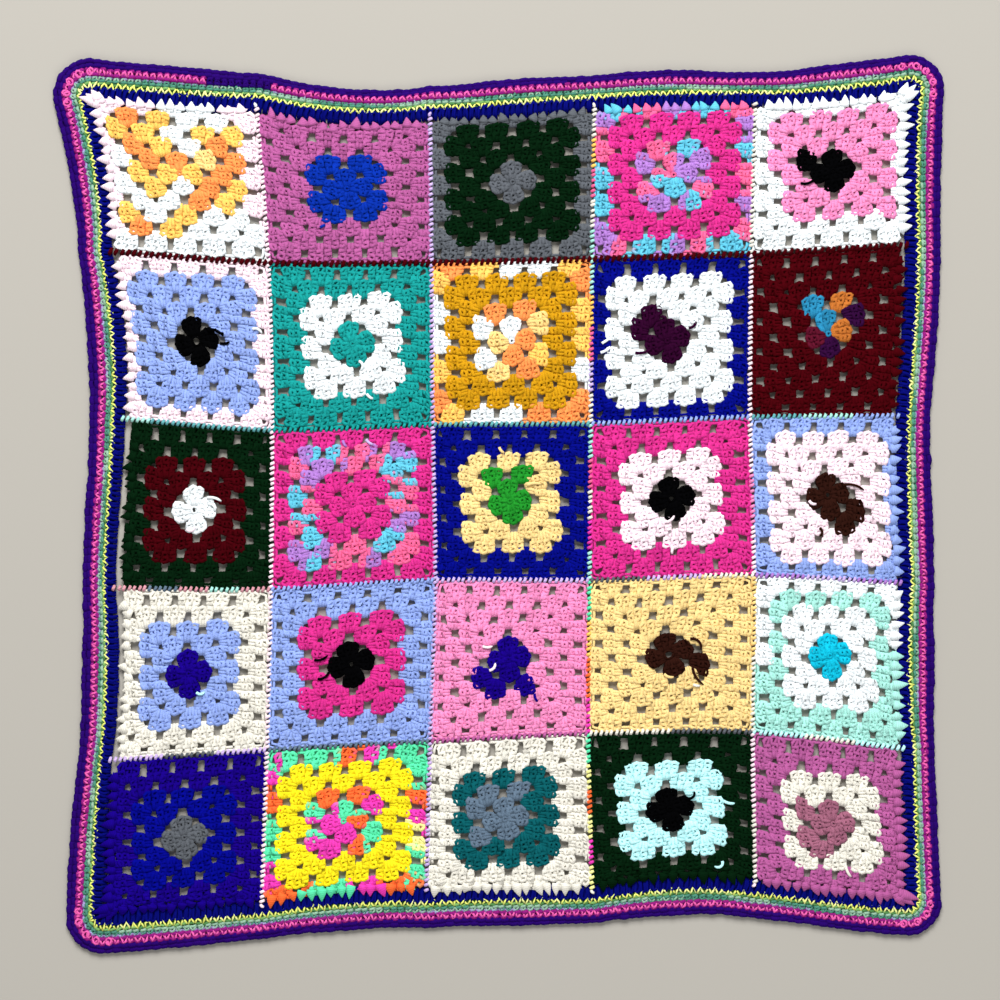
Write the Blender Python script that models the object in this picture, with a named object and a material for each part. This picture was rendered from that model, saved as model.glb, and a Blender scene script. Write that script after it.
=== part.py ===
"""Granny square blanket, spread out flat.

Twenty-five crocheted squares, five across and five down, are sewn edge to edge,
and a border of five narrow rounds is worked round the whole of them.
Each square and each round of the border is a closed solid of its own.

Units: metres in the solids, millimetres in the tables. +Z is up, +Y is the top edge.
The underside rests on z = 0, and the middle of the outline is at x = y = 0.
"""

import math

import bmesh
import bpy

MM = 0.001

# --- driving dimensions -------------------------------------------------------

SQUARES_PER_SIDE = 5
GAP = 0.33                # clear space between one solid and the next
SQUARE_PITCH = 125.0      # usual size of one square
SQUARE_EDGE_HEIGHT = 3.2  # the last round of a square, pulled thin by the sewing
SQUARE_CROWN = 0.7        # how much thicker the crowded stitches at its middle are
SQUARE_UNEVEN = 0.15      # slow rise and fall of the hand-made fabric
UNEVEN_LENGTH = 55.0
SQUARE_STEPS = 4          # facets along each side of a square
CORNER_STEPS = 4          # facets round each outer corner of the border
CORNER_EASE = 2.0         # how far an outer corner of the squares is drawn in

# Where the seam lines cross. A row for each line across, from the top edge down;
# in it x and y for each of the six upright lines, from left to right (mm).
CROSSINGS = (
    ((-318, 318), (-187, 309), (-52, 302), (76, 309), (201, 313), (323, 323)),
    ((-303, 197), (-178, 188), (-51, 188), (74, 191), (198, 195), (321, 202)),
    ((-293, 67), (-175, 58), (-50, 62), (73, 63), (197, 68), (314, 69)),
    ((-300, -65), (-176, -66), (-48, -59), (72, -59), (200, -55), (316, -61)),
    ((-303, -199), (-179, -191), (-52, -184), (71, -178), (199, -177), (318, -190)),
    ((-308, -319), (-183, -311), (-55, -302), (74, -300), (201, -295), (321, -308)),
)

# How far the free edge of each outer square bows out (+) or in (-) at its middle (mm).
# The squares are taken clockwise round the blanket, from its top left corner.
EDGE_BOW = {
    "top": (-2.3, -5.5, -0.8, 0.8, -3.5),
    "right": (-2.7, 1.2, -1.2, -3.5, -0.4),
    "bottom": (1.6, -4.7, -1.2, -3.5, 0.0),
    "left": (1.6, -3.5, 1.2, -3.5, -3.9),
}

# Width of the whole border (mm), clockwise along each side: at the corner, at the
# middle of the first square, at the next seam, and so on to the far corner.
BORDER_WIDTH = {
    "top": (29.5, 30.5, 26.5, 24.5, 23.5, 27.0, 25.0, 26.5, 23.5, 28.5, 27.0),
    "right": (25.0, 26.5, 24.5, 24.5, 23.5, 25.5, 25.0, 27.5, 23.0, 24.0, 24.5),
    "bottom": (27.5, 27.5, 27.0, 28.0, 26.0, 28.5, 27.5, 29.0, 27.0, 29.5, 31.0),
    "left": (27.5, 26.0, 23.5, 25.5, 23.0, 23.5, 25.0, 27.0, 23.5, 27.0, 28.5),
}

# The rounds of the border from the squares outwards:
# name, share of the border's width, height at its two edges, height at its crest (mm).
BORDER_ROUNDS = (
    ("border_round_1_navy", 0.285, 2.8, 3.2),
    ("border_round_2_lime", 0.185, 2.8, 3.3),
    ("border_round_3_green", 0.150, 2.8, 3.2),
    ("border_round_4_pink", 0.145, 2.8, 3.2),
    ("border_round_5_violet", 0.235, 2.8, 3.4),
)

# Main yarn of each square's outer round, a row for each row of squares.
YARN_COLOURS = {
    "white": (0.90, 0.92, 0.93),
    "mauve": (0.46, 0.08, 0.31),
    "grey": (0.17, 0.17, 0.20),
    "hot_pink": (0.80, 0.04, 0.27),
    "blush": (0.96, 0.78, 0.85),
    "teal": (0.01, 0.36, 0.32),
    "orange": (0.95, 0.42, 0.08),
    "navy": (0.004, 0.012, 0.27),
    "maroon": (0.075, 0.002, 0.006),
    "dark_green": (0.001, 0.020, 0.006),
    "periwinkle": (0.27, 0.42, 0.86),
    "cream": (0.88, 0.86, 0.76),
    "pink": (0.93, 0.22, 0.51),
    "yellow": (0.96, 0.70, 0.24),
    "mint": (0.36, 0.85, 0.72),
    "violet": (0.022, 0.001, 0.22),
    "neon": (0.90, 0.35, 0.25),
    "lime": (0.72, 0.86, 0.16),
    "green": (0.10, 0.42, 0.30),
    "magenta": (0.58, 0.03, 0.28),
}
SQUARE_YARNS = (
    ("white", "mauve", "grey", "hot_pink", "white"),
    ("blush", "teal", "orange", "navy", "maroon"),
    ("dark_green", "hot_pink", "navy", "hot_pink", "periwinkle"),
    ("cream", "periwinkle", "pink", "yellow", "mint"),
    ("violet", "neon", "cream", "dark_green", "mauve"),
)
BORDER_YARNS = ("navy", "lime", "green", "magenta", "violet")


# --- plan of the blanket ------------------------------------------------------

def spline(points, u):
    """Smooth curve through evenly spaced points; u counts points from 0."""
    last = len(points) - 1
    i = min(int(u), last - 1)
    t = u - i
    before = points[i - 1] if i > 0 else [2 * a - b for a, b in zip(points[0], points[1])]
    after = points[i + 2] if i + 2 <= last else [2 * a - b for a, b in zip(points[last], points[last - 1])]
    out = []
    for a, b, c, d in zip(before, points[i], points[i + 1], after):
        slope_in = (c - a) / 2
        slope_out = (d - b) / 2
        rest = (2 * t**3 - 3 * t**2 + 1) * b + (3 * t**2 - 2 * t**3) * c
        out.append(rest + (t**3 - 2 * t**2 + t) * slope_in + (t**3 - t**2) * slope_out)
    return out


def bow_at(side, u):
    """Outward bow of a side's free edge, u squares along it."""
    i = min(int(u), SQUARES_PER_SIDE - 1)
    t = u - i
    return 4 * t * (1 - t) * EDGE_BOW[side][i]


def plan(u, v):
    """Point of the sewn squares in the plan (mm): u squares along from the left, v squares down."""
    across = [spline(row, u) for row in CROSSINGS]
    x, y = spline(across, v)
    n = SQUARES_PER_SIDE
    fade_top = max(0.0, 1 - v)
    fade_bottom = max(0.0, v - (n - 1))
    fade_left = max(0.0, 1 - u)
    fade_right = max(0.0, u - (n - 1))
    y += bow_at("top", u) * fade_top - bow_at("bottom", n - u) * fade_bottom
    x += bow_at("right", v) * fade_right - bow_at("left", n - v) * fade_left
    return x, y


def free_edge():
    """The squares' free edge, clockwise from the top left corner, as one list for each side."""
    n = SQUARES_PER_SIDE
    steps = n * SQUARE_STEPS
    runs = {
        "top": lambda s: plan(s, 0),
        "right": lambda s: plan(n, s),
        "bottom": lambda s: plan(n - s, n),
        "left": lambda s: plan(0, n - s),
    }
    return {side: [at(i * n / steps) for i in range(steps + 1)] for side, at in runs.items()}


def outward(a, b):
    """Unit vector to the left of the way from a to b: outwards, when going clockwise."""
    dx = b[0] - a[0]
    dy = b[1] - a[1]
    size = math.hypot(dx, dy)
    return -dy / size, dx / size


def border_stations():
    """Stations clockwise round the border: foot on the squares' edge, ways out and width there.

    The first way out is the border's own, and the second is that of its innermost edge.
    A corner has several stations on one foot, whose own ways turn like a fan, while the
    innermost edge keeps a single sharp point there.
    """
    edges = free_edge()
    sides = list(edges)
    ways = {}
    for side in sides:
        run = edges[side]
        last = len(run) - 1
        ways[side] = [outward(run[max(i - 1, 0)], run[min(i + 1, last)]) for i in range(last + 1)]
    stations = []
    for k, side in enumerate(sides):
        run = edges[side]
        widths = [(w,) for w in BORDER_WIDTH[side]]
        for i in range(1, len(run) - 1):
            width = spline(widths, i * (len(widths) - 1) / (len(run) - 1))[0]
            stations.append((run[i], ways[side][i], ways[side][i], width))
        following = sides[(k + 1) % len(sides)]
        start = math.atan2(ways[side][-1][1], ways[side][-1][0])
        end = math.atan2(ways[following][0][1], ways[following][0][0])
        turn = (start - end) % (2 * math.pi)
        bisector = (math.cos(start - turn / 2), math.sin(start - turn / 2))
        for step in range(CORNER_STEPS + 1):
            t = step / CORNER_STEPS
            angle = start - turn * t
            width = (1 - t) * BORDER_WIDTH[side][-1] + t * BORDER_WIDTH[following][0]
            stations.append((run[-1], (math.cos(angle), math.sin(angle)), bisector, width))
    return stations


def outline_middle(stations):
    """Middle of the box round the whole outline (mm)."""
    xs = [foot[0] + way[0] * width for foot, way, _, width in stations]
    ys = [foot[1] + way[1] * width for foot, way, _, width in stations]
    return (min(xs) + max(xs)) / 2, (min(ys) + max(ys)) / 2


# --- solids -------------------------------------------------------------------

def slab(name, lattice, closed):
    """Closed solid from a lattice of (x, y, height) points in mm, flat below at z = 0.

    closed joins the last row of the lattice to the first, as in a ring.
    """
    bm = bmesh.new()
    made = {}

    def vertex(point, top):
        key = (round(point[0], 4), round(point[1], 4), top)
        if key not in made:
            made[key] = bm.verts.new((point[0] * MM, point[1] * MM, point[2] * MM if top else 0.0))
        return made[key]

    rows = list(lattice)
    if closed:
        rows.append(lattice[0])
    for here, there in zip(rows, rows[1:]):
        for j in range(len(here) - 1):
            patch = (here[j], here[j + 1], there[j + 1], there[j])
            for top in (False, True):
                corners = list(dict.fromkeys(vertex(point, top) for point in patch))
                bm.faces.new(corners)
    wall_up(bm, made)
    bmesh.ops.recalc_face_normals(bm, faces=bm.faces)
    bmesh.ops.triangulate(bm, faces=bm.faces)
    mesh = bpy.data.meshes.new(name)
    bm.to_mesh(mesh)
    bm.free()
    thing = bpy.data.objects.new(name, mesh)
    bpy.context.collection.objects.link(thing)
    return thing


def wall_up(bm, made):
    """Stand a wall on each free edge of the underside, up to the edge above it."""
    above = {made[x, y, False]: made[x, y, True] for x, y, top in made if top}
    feet = [edge for edge in bm.edges if edge.is_boundary and all(v in above for v in edge.verts)]
    for edge in feet:
        a, b = edge.verts
        bm.faces.new((a, b, above[b], above[a]))


def paint(thing, yarn):
    """Give a solid a plain yarn-coloured material of its own, named after it."""
    material = bpy.data.materials.new(thing.name + "_yarn")
    material.use_nodes = True
    surface = material.node_tree.nodes["Principled BSDF"]
    surface.inputs["Base Color"].default_value = (*YARN_COLOURS[yarn], 1.0)
    surface.inputs["Roughness"].default_value = 0.9
    surface.inputs["Metallic"].default_value = 0.0
    thing.data.materials.append(material)


def share_along(step):
    """How far along a square's side a lattice line lies, with half a gap left free at each end."""
    half_gap = 0.5 * GAP / SQUARE_PITCH
    if step == 0:
        return half_gap
    if step == SQUARE_STEPS:
        return 1 - half_gap
    return step / SQUARE_STEPS


def drawn_in(x, y):
    """Outer corner of the squares, drawn in diagonally so that it sits inside the border's corner."""
    shift = CORNER_EASE * math.sqrt(0.5)
    return x - math.copysign(shift, x), y - math.copysign(shift, y)


def square_height(x, y, s, t):
    """Height of a square's top face: thin at the sewn edge, crowned at the middle, a little uneven."""
    crown = SQUARE_CROWN * math.sin(math.pi * s) * math.sin(math.pi * t)
    uneven = SQUARE_UNEVEN * math.sin(x / UNEVEN_LENGTH) * math.cos(y / UNEVEN_LENGTH + 1.0)
    return SQUARE_EDGE_HEIGHT + crown + uneven


def square(row, column, middle):
    """One crocheted square as a slab with the outline that its seams give it."""
    ends = (0, SQUARES_PER_SIDE)
    lattice = []
    for j in range(SQUARE_STEPS + 1):
        line = []
        for i in range(SQUARE_STEPS + 1):
            s = share_along(i)
            t = share_along(j)
            x, y = plan(column + s, row + t)
            if column + i / SQUARE_STEPS in ends and row + j / SQUARE_STEPS in ends:
                x, y = drawn_in(x, y)
            x -= middle[0]
            y -= middle[1]
            line.append((x, y, square_height(x, y, s, t)))
        lattice.append(line)
    thing = slab(f"square_r{row + 1}c{column + 1}", lattice, closed=False)
    paint(thing, SQUARE_YARNS[row][column])


def border_round(index, stations, middle):
    """One round of the border: a closed narrow ring, raised a little along its crest."""
    name, share, edge_height, crest_height = BORDER_ROUNDS[index]
    start = sum(entry[1] for entry in BORDER_ROUNDS[:index])
    is_last = index == len(BORDER_ROUNDS) - 1
    lattice = []
    for foot, way, innermost_way, width in stations:
        inner = start * width + GAP / 2
        outer = (start + share) * width - (0.0 if is_last else GAP / 2)
        across = (
            (inner, edge_height, innermost_way if index == 0 else way),
            ((inner + outer) / 2, crest_height, way),
            (outer, edge_height, way),
        )
        line = []
        for reach, height, heading in across:
            x = foot[0] + heading[0] * reach - middle[0]
            y = foot[1] + heading[1] * reach - middle[1]
            line.append((x, y, height))
        lattice.append(line)
    thing = slab(name, lattice, closed=True)
    paint(thing, BORDER_YARNS[index])


def build():
    for thing in list(bpy.data.objects):
        bpy.data.objects.remove(thing)
    stations = border_stations()
    middle = outline_middle(stations)
    for row in range(SQUARES_PER_SIDE):
        for column in range(SQUARES_PER_SIDE):
            square(row, column, middle)
    for index in range(len(BORDER_ROUNDS)):
        border_round(index, stations, middle)


build()
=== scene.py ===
# %% [markdown]
# # A granny square blanket
# Twenty-five crocheted squares, five across and five down, lie sewn edge to edge, and five
# narrow rounds are worked round the whole of them. The blanket is spread out flat.
# The measured frame holds one plain solid for each square and each round of the border.
# Here every solid gives its place to a thin cloth ground and to the strands of yarn on it:
# each stitch is one strand that runs up, over and down again, as the hook leads it.

import math

import bmesh
import bpy
import numpy as np
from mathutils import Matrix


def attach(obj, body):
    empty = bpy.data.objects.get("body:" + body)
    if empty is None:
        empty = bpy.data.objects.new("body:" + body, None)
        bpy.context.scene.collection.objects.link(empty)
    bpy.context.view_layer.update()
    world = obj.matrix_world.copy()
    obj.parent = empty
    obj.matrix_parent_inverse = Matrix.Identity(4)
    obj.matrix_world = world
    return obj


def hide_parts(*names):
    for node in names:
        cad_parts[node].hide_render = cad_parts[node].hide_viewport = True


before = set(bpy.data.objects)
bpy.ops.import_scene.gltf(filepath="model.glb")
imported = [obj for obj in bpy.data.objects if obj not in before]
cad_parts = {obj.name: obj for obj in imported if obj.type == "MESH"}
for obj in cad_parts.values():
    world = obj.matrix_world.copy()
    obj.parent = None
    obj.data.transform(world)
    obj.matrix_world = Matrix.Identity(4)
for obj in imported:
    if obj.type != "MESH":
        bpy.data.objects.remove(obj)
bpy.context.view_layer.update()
chance = np.random.default_rng(25)
MM = 0.001
print("frame holds", len(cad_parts), "solids")

# %% [markdown]
# ## Where the yarn lies
# A hand-made blanket is never a true grid. The corners of the squares are therefore placed one
# by one, and everything between them follows smooth curves through those corners.
# The same curves shaped the frame, so a stitch that is given in the squares' own measure
# lands on its solid. A table of weights does this for thousands of points in one step.

# %% Corners of the squares and the border's width
SQUARES = 5
SIDE = 125.0              # usual size of one square, mm

# x and y (mm) of the six upright seam lines on each of the six seam lines across, top first
CROSSINGS = np.array((
    ((-318, 318), (-187, 309), (-52, 302), (76, 309), (201, 313), (323, 323)),
    ((-303, 197), (-178, 188), (-51, 188), (74, 191), (198, 195), (321, 202)),
    ((-293, 67), (-175, 58), (-50, 62), (73, 63), (197, 68), (314, 69)),
    ((-300, -65), (-176, -66), (-48, -59), (72, -59), (200, -55), (316, -61)),
    ((-303, -199), (-179, -191), (-52, -184), (71, -178), (199, -177), (318, -190)),
    ((-308, -319), (-183, -311), (-55, -302), (74, -300), (201, -295), (321, -308)),
), float)

# outward bow (mm) of each outer square's free edge, clockwise
EDGE_BOW = {
    "top": (-2.3, -5.5, -0.8, 0.8, -3.5),
    "right": (-2.7, 1.2, -1.2, -3.5, -0.4),
    "bottom": (1.6, -4.7, -1.2, -3.5, 0.0),
    "left": (1.6, -3.5, 1.2, -3.5, -3.9),
}

# the border's width (mm) at each corner, square middle and seam, clockwise
BORDER_WIDTH = {
    "top": (29.5, 30.5, 26.5, 24.5, 23.5, 27.0, 25.0, 26.5, 23.5, 28.5, 27.0),
    "right": (25.0, 26.5, 24.5, 24.5, 23.5, 25.5, 25.0, 27.5, 23.0, 24.0, 24.5),
    "bottom": (27.5, 27.5, 27.0, 28.0, 26.0, 28.5, 27.5, 29.0, 27.0, 29.5, 31.0),
    "left": (27.5, 26.0, 23.5, 25.5, 23.0, 23.5, 25.0, 27.0, 23.5, 27.0, 28.5),
}


# %% Smooth curves through the corners
def curve_weights(count, u):
    """How much each of count evenly spaced points counts for a smooth curve at u (points from 0)."""
    ends = np.zeros((count + 2, count))
    ends[1:-1] = np.eye(count)
    ends[0, :2] = (2, -1)
    ends[-1, -2:] = (-1, 2)
    i = np.clip(np.floor(u).astype(int), 0, count - 2)
    t = (np.asarray(u, float) - i)[..., None]
    a, b, c, d = (ends[i + k] for k in range(4))
    value = (2 * t**3 - 3 * t**2 + 1) * b + (3 * t**2 - 2 * t**3) * c
    return value + (t**3 - 2 * t**2 + t) * (c - a) / 2 + (t**3 - t**2) * (d - b) / 2


def bow(side, u):
    """Outward bow (mm) of a side's free edge, u squares along it."""
    i = np.clip(np.floor(u).astype(int), 0, SQUARES - 1)
    t = np.clip(u - i, 0, 1)
    return 4 * t * (1 - t) * np.array(EDGE_BOW[side])[i]


def sewn_plan(u, v):
    """Points (mm) u squares along from the left and v squares down, before they are centred."""
    u = np.asarray(u, float)
    v = np.asarray(v, float)
    across = curve_weights(SQUARES + 1, u)
    down = curve_weights(SQUARES + 1, v)
    place = np.einsum("...i,...j,ijk->...k", down, across, CROSSINGS)
    last = SQUARES - 1
    up = bow("top", u) * np.clip(1 - v, 0, 1)
    up -= bow("bottom", SQUARES - u) * np.clip(v - last, 0, 1)
    right = bow("right", v) * np.clip(u - last, 0, 1)
    right -= bow("left", SQUARES - v) * np.clip(1 - u, 0, 1)
    return place + np.stack((right, up), axis=-1)


# %% Stations round the border
STATIONS_PER_SQUARE = 32
SIDE_STATIONS = SQUARES * STATIONS_PER_SQUARE + 1
FAN_STATIONS = 12         # round each outer corner


def border_track():
    """Feet on the squares' edge, ways out and widths, clockwise from the top left corner."""
    s = np.linspace(0, SQUARES, SIDE_STATIONS)
    runs = {
        "top": sewn_plan(s, 0 * s),
        "right": sewn_plan(0 * s + SQUARES, s),
        "bottom": sewn_plan(SQUARES - s, 0 * s + SQUARES),
        "left": sewn_plan(0 * s, SQUARES - s),
    }
    names = list(runs)
    bearings = {}
    for name, run in runs.items():
        along = np.gradient(run, axis=0)
        bearings[name] = np.unwrap(np.arctan2(along[:, 0], -along[:, 1]))
    feet, turned, widths = [], [], []
    for name, following in zip(names, names[1:] + names[:1]):
        feet.append(runs[name])
        turned.append(bearings[name])
        width = curve_weights(2 * SQUARES + 1, 2 * s) @ np.array(BORDER_WIDTH[name])
        widths.append(width)
        turn = (bearings[name][-1] - bearings[following][0]) % (2 * math.pi)
        t = np.linspace(0, 1, FAN_STATIONS + 2)[1:-1]
        feet.append(np.repeat(runs[name][-1:], FAN_STATIONS, axis=0))
        turned.append(bearings[name][-1] - turn * t)
        widths.append((1 - t) * width[-1] + t * BORDER_WIDTH[following][0])
    feet = np.vstack(feet + [feet[0][:1]])
    turned = np.concatenate(turned + [turned[0][:1]])
    widths = np.concatenate(widths + [widths[0][:1]])
    return feet, np.stack((np.cos(turned), np.sin(turned)), axis=-1), widths


FEET, WAYS, WIDTHS = border_track()
rim = FEET + WAYS * WIDTHS[:, None]
MIDDLE = (rim.min(axis=0) + rim.max(axis=0)) / 2
FEET -= MIDDLE
print("outline", np.round(rim.max(axis=0) - rim.min(axis=0), 1), "mm")


def plan(u, v):
    """Points (mm) of the sewn squares, centred as the frame is."""
    return sewn_plan(u, v) - MIDDLE


# %% [markdown]
# ## Dyes
# The blanket uses up many left-over balls of acrylic. Each dye is written once, as the hex
# value that a paint program shows, and turned to the linear light that Blender reckons in.
# Every strand carries its own dye as a colour attribute, so a ball that is dyed in short
# runs of several colours can change colour from one cluster of stitches to the next.

# %% The dyes
DYES = {
    # the squares' plain balls, from pale to dark
    "white": "e6ecee", "cream": "e0dcd0", "blush": "f4dce6",
    "butter": "eacb88", "lemon": "f0ca80", "amber": "f6c060", "sun": "f2dc20",
    "mustard": "c08c14", "orange": "f2904e", "pink": "e686b6", "hot_pink": "cc2e84",
    "mauve": "a8568e", "rose": "985e74", "ice": "b8f0f2", "mint": "a0dace",
    "turquoise": "10b0cc", "teal": "18908c", "deep_teal": "0a545a", "green": "208828",
    "periwinkle": "8aa0dc", "slate": "5c6e80", "grey": "565a60", "royal": "082c98",
    "royal_navy": "040880", "navy": "040a78", "indigo": "160278", "plum": "2a0424",
    "maroon": "400208", "dark_red": "3c0208", "dark_green": "041c0a", "brown": "2a120c",
    "black": "020203",
    # balls dyed in short runs
    "coral": "e4608e", "aqua": "5cb8d2", "lilac": "a474c0",
    "neon_magenta": "e43cac", "neon_orange": "f46a34", "neon_mint": "58dca4", "neon_lemon": "f2ee96",
    "lake": "2880a8", "ember": "b4682c", "purple": "2c0832", "red": "541024",
    # the border; two darker copies of the lime yarn stand for its body in painted shade
    "border_navy": "060a66", "lime": "dfe676", "lime_pale": "e6ea94", "lime_painted_shade": "72a05c",
    "lime_deep_painted_shade": "4c7c46", "border_green": "4a8470", "border_mint": "88ac94", "border_slate": "948cb8",
    "magenta": "841c70", "border_pink": "dc5ca2", "violet": "24065e",
    # the sewing thread's other colours
    "sea": "5c9ea2", "dusty": "c88e98", "pale_lilac": "c0a8dc",
}


def linear(code):
    """Linear light of an sRGB hex value."""
    shown = np.array([int(code[i:i + 2], 16) / 255 for i in (0, 2, 4)])
    return np.where(shown <= 0.04045, shown / 12.92, ((shown + 0.055) / 1.055) ** 2.4)


DYE = {name: linear(code) for name, code in DYES.items()}
print(len(DYE), "dyes")

# %% [markdown]
# ## Acrylic yarn
# The squares are of worsted acrylic: four soft plies twisted together into a strand some
# 2.5 mm thick. To the eye that is a dull, slightly furry surface with slanting grooves.
# The grooves follow each strand, so they are drawn on its own UV map, where u counts
# millimetres along the strand and v goes once round it. The fur is a fine noise in
# Object coordinates. The gloss is turned nearly off, because loose fibres scatter the light.

# %% The yarn material
PLY_PITCH = 5.0           # mm along the strand to one full turn of the plies
PLIES = 3                 # drawn a little coarser than the four real plies, so that they show
FIBRE_MM = 0.7            # size of a tuft of fibres


def add_node(tree, kind, settings=None, links=None):
    """Add one node: settings go to its properties or sockets, links join sockets to its inputs."""
    node = tree.nodes.new(kind)
    for name, value in (settings or {}).items():
        if isinstance(name, int) or name in node.inputs:
            node.inputs[name].default_value = value
        else:
            setattr(node, name, value)
    for name, socket in (links or {}).items():
        tree.links.new(socket, node.inputs[name])
    return node


def acrylic(name, roughness, groove):
    """Worsted acrylic yarn that takes its dye from the strand's own colour attribute.

    groove is the share of light that is lost where two plies meet.
    """
    material = bpy.data.materials.new(name)
    material.use_nodes = True
    tree = material.node_tree
    surface = tree.nodes["Principled BSDF"]
    dye = add_node(tree, "ShaderNodeAttribute", {"attribute_name": "dye"})
    place = add_node(tree, "ShaderNodeTexCoord")
    tufts = add_node(
        tree, "ShaderNodeTexNoise",
        {"Scale": 1 / (FIBRE_MM * MM), "Detail": 2.0, "Roughness": 0.6},
        {"Vector": place.outputs["Object"]},
    )
    strand = add_node(tree, "ShaderNodeUVMap", {"uv_map": "strand"})
    along = add_node(tree, "ShaderNodeSeparateXYZ", links={"Vector": strand.outputs["UV"]})
    turns = add_node(
        tree, "ShaderNodeMath", {"operation": "MULTIPLY", 1: PLIES / PLY_PITCH},
        {0: along.outputs["X"]},
    )
    ply = add_node(
        tree, "ShaderNodeMath", {"operation": "MULTIPLY_ADD", 1: float(PLIES)},
        {0: along.outputs["Y"], 2: turns.outputs["Value"]},
    )
    wave = add_node(
        tree, "ShaderNodeMath", {"operation": "PINGPONG", 1: 0.5}, {0: ply.outputs["Value"]},
    )
    lit = add_node(
        tree, "ShaderNodeMapRange",
        {"From Min": 0.0, "From Max": 0.5, "To Min": 1.0 - groove, "To Max": 1.0 + groove / 2},
        {"Value": wave.outputs["Value"]},
    )
    fleck = add_node(
        tree, "ShaderNodeMapRange",
        {"From Min": 0.3, "From Max": 0.7, "To Min": 0.86, "To Max": 1.09},
        {"Value": tufts.outputs["Fac"]},
    )
    value = add_node(
        tree, "ShaderNodeMath", {"operation": "MULTIPLY"},
        {0: lit.outputs["Result"], 1: fleck.outputs["Result"]},
    )
    colour = add_node(
        tree, "ShaderNodeVectorMath", {"operation": "SCALE"},
        {0: dye.outputs["Color"], "Scale": value.outputs["Value"]},
    )
    rough = add_node(
        tree, "ShaderNodeMapRange",
        {"From Min": 0.3, "From Max": 0.7, "To Min": roughness - 0.08, "To Max": roughness + 0.06},
        {"Value": tufts.outputs["Fac"]},
    )
    height = add_node(
        tree, "ShaderNodeMath", {"operation": "MULTIPLY_ADD", 1: 0.5},
        {0: tufts.outputs["Fac"], 2: wave.outputs["Value"]},
    )
    bump = add_node(
        tree, "ShaderNodeBump", {"Strength": 0.45, "Distance": 0.3 * MM},
        {"Height": height.outputs["Value"]},
    )
    tree.links.new(colour.outputs["Vector"], surface.inputs["Base Color"])
    tree.links.new(rough.outputs["Result"], surface.inputs["Roughness"])
    tree.links.new(bump.outputs["Normal"], surface.inputs["Normal"])
    surface.inputs["Specular IOR Level"].default_value = 0.02
    surface.inputs["IOR"].default_value = 1.5
    return material


# worsted acrylic, spun and brushed: dull all over, with shallow grooves between its plies
WORSTED = acrylic("worsted_acrylic_yarn", roughness=0.92, groove=0.15)
# the sewing lengths are the same yarn pulled tight: a little smoother, with darker grooves
SEWING = acrylic("acrylic_sewing_yarn", roughness=0.85, groove=0.20)

# %% [markdown]
# The ground is the body of the cloth between and behind the strands, where less light comes.
# It is the same yarn, felted together, and it needs no grooves of its own. Its colour is the yarn's dye
# darkened as painted shade.


# %% The felted ground material
def felted(name):
    """Yarn seen deep between the stitches: its dye darkened as painted shade, matt and lightly mottled."""
    material = bpy.data.materials.new(name)
    material.use_nodes = True
    tree = material.node_tree
    surface = tree.nodes["Principled BSDF"]
    dye = add_node(tree, "ShaderNodeAttribute", {"attribute_name": "dye"})
    place = add_node(tree, "ShaderNodeTexCoord")
    mottle = add_node(
        tree, "ShaderNodeTexNoise",
        {"Scale": 1 / (2.0 * MM), "Detail": 3.0, "Roughness": 0.6},
        {"Vector": place.outputs["Object"]},
    )
    value = add_node(
        tree, "ShaderNodeMapRange",
        {"From Min": 0.3, "From Max": 0.7, "To Min": 0.75, "To Max": 1.05},
        {"Value": mottle.outputs["Fac"]},
    )
    colour = add_node(
        tree, "ShaderNodeVectorMath", {"operation": "SCALE"},
        {0: dye.outputs["Color"], "Scale": value.outputs["Result"]},
    )
    bump = add_node(
        tree, "ShaderNodeBump", {"Strength": 0.6, "Distance": 0.4 * MM},
        {"Height": mottle.outputs["Fac"]},
    )
    tree.links.new(colour.outputs["Vector"], surface.inputs["Base Color"])
    tree.links.new(bump.outputs["Normal"], surface.inputs["Normal"])
    surface.inputs["Roughness"].default_value = 0.95
    surface.inputs["Specular IOR Level"].default_value = 0.02
    return material


FELT = felted("felted_acrylic_ground")

# %% [markdown]
# ## One strand, many times
# A stitch is a bent strand. There are thousands of them, so they aren't made one by one:
# their paths go into one array, and a ring of four points is carried along all of them at
# once. Four sides are enough at this size, because smooth shading rounds them off.
# A skein collects such arrays until they are joined into one mesh.

# %% Strands and skeins
STRAND_SIDES = 4


def unit(vectors):
    """Vectors of length one."""
    return vectors / np.maximum(np.linalg.norm(vectors, axis=-1, keepdims=True), 1e-9)


def wind(skein, paths, radii, dyes, flat=1.0):
    """Add strands to a skein: paths (strands, points, 3) and radii in mm, a dye for each strand or point.

    flat makes a strand lower than it is wide.
    """
    paths = np.asarray(paths, float)
    strands, points, _ = paths.shape
    radii = np.broadcast_to(radii, (strands, points))
    dyes = np.asarray(dyes, float)
    if dyes.ndim == 2:
        dyes = np.repeat(dyes[:, None], points, axis=1)
    ahead = unit(np.gradient(paths, axis=1))
    side = unit(np.cross(ahead[:, 0], (0.0, 0.0, 1.0)) + 1e-6)
    angles = 2 * math.pi * (np.arange(STRAND_SIDES) + 0.5) / STRAND_SIDES
    rings = np.empty((strands, points, STRAND_SIDES, 3))
    for p in range(points):
        side = unit(side - np.sum(side * ahead[:, p], axis=-1, keepdims=True) * ahead[:, p])
        lift = np.cross(side, ahead[:, p])
        ring = np.cos(angles)[:, None] * side[:, None] + flat * np.sin(angles)[:, None] * lift[:, None]
        rings[:, p] = paths[:, p, None] + radii[:, p, None, None] * ring
    steps = np.linalg.norm(np.diff(paths, axis=1), axis=-1)
    lengths = np.concatenate((np.zeros((strands, 1)), np.cumsum(steps, axis=1)), axis=1)
    skein.append((rings, lengths, dyes))


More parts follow.
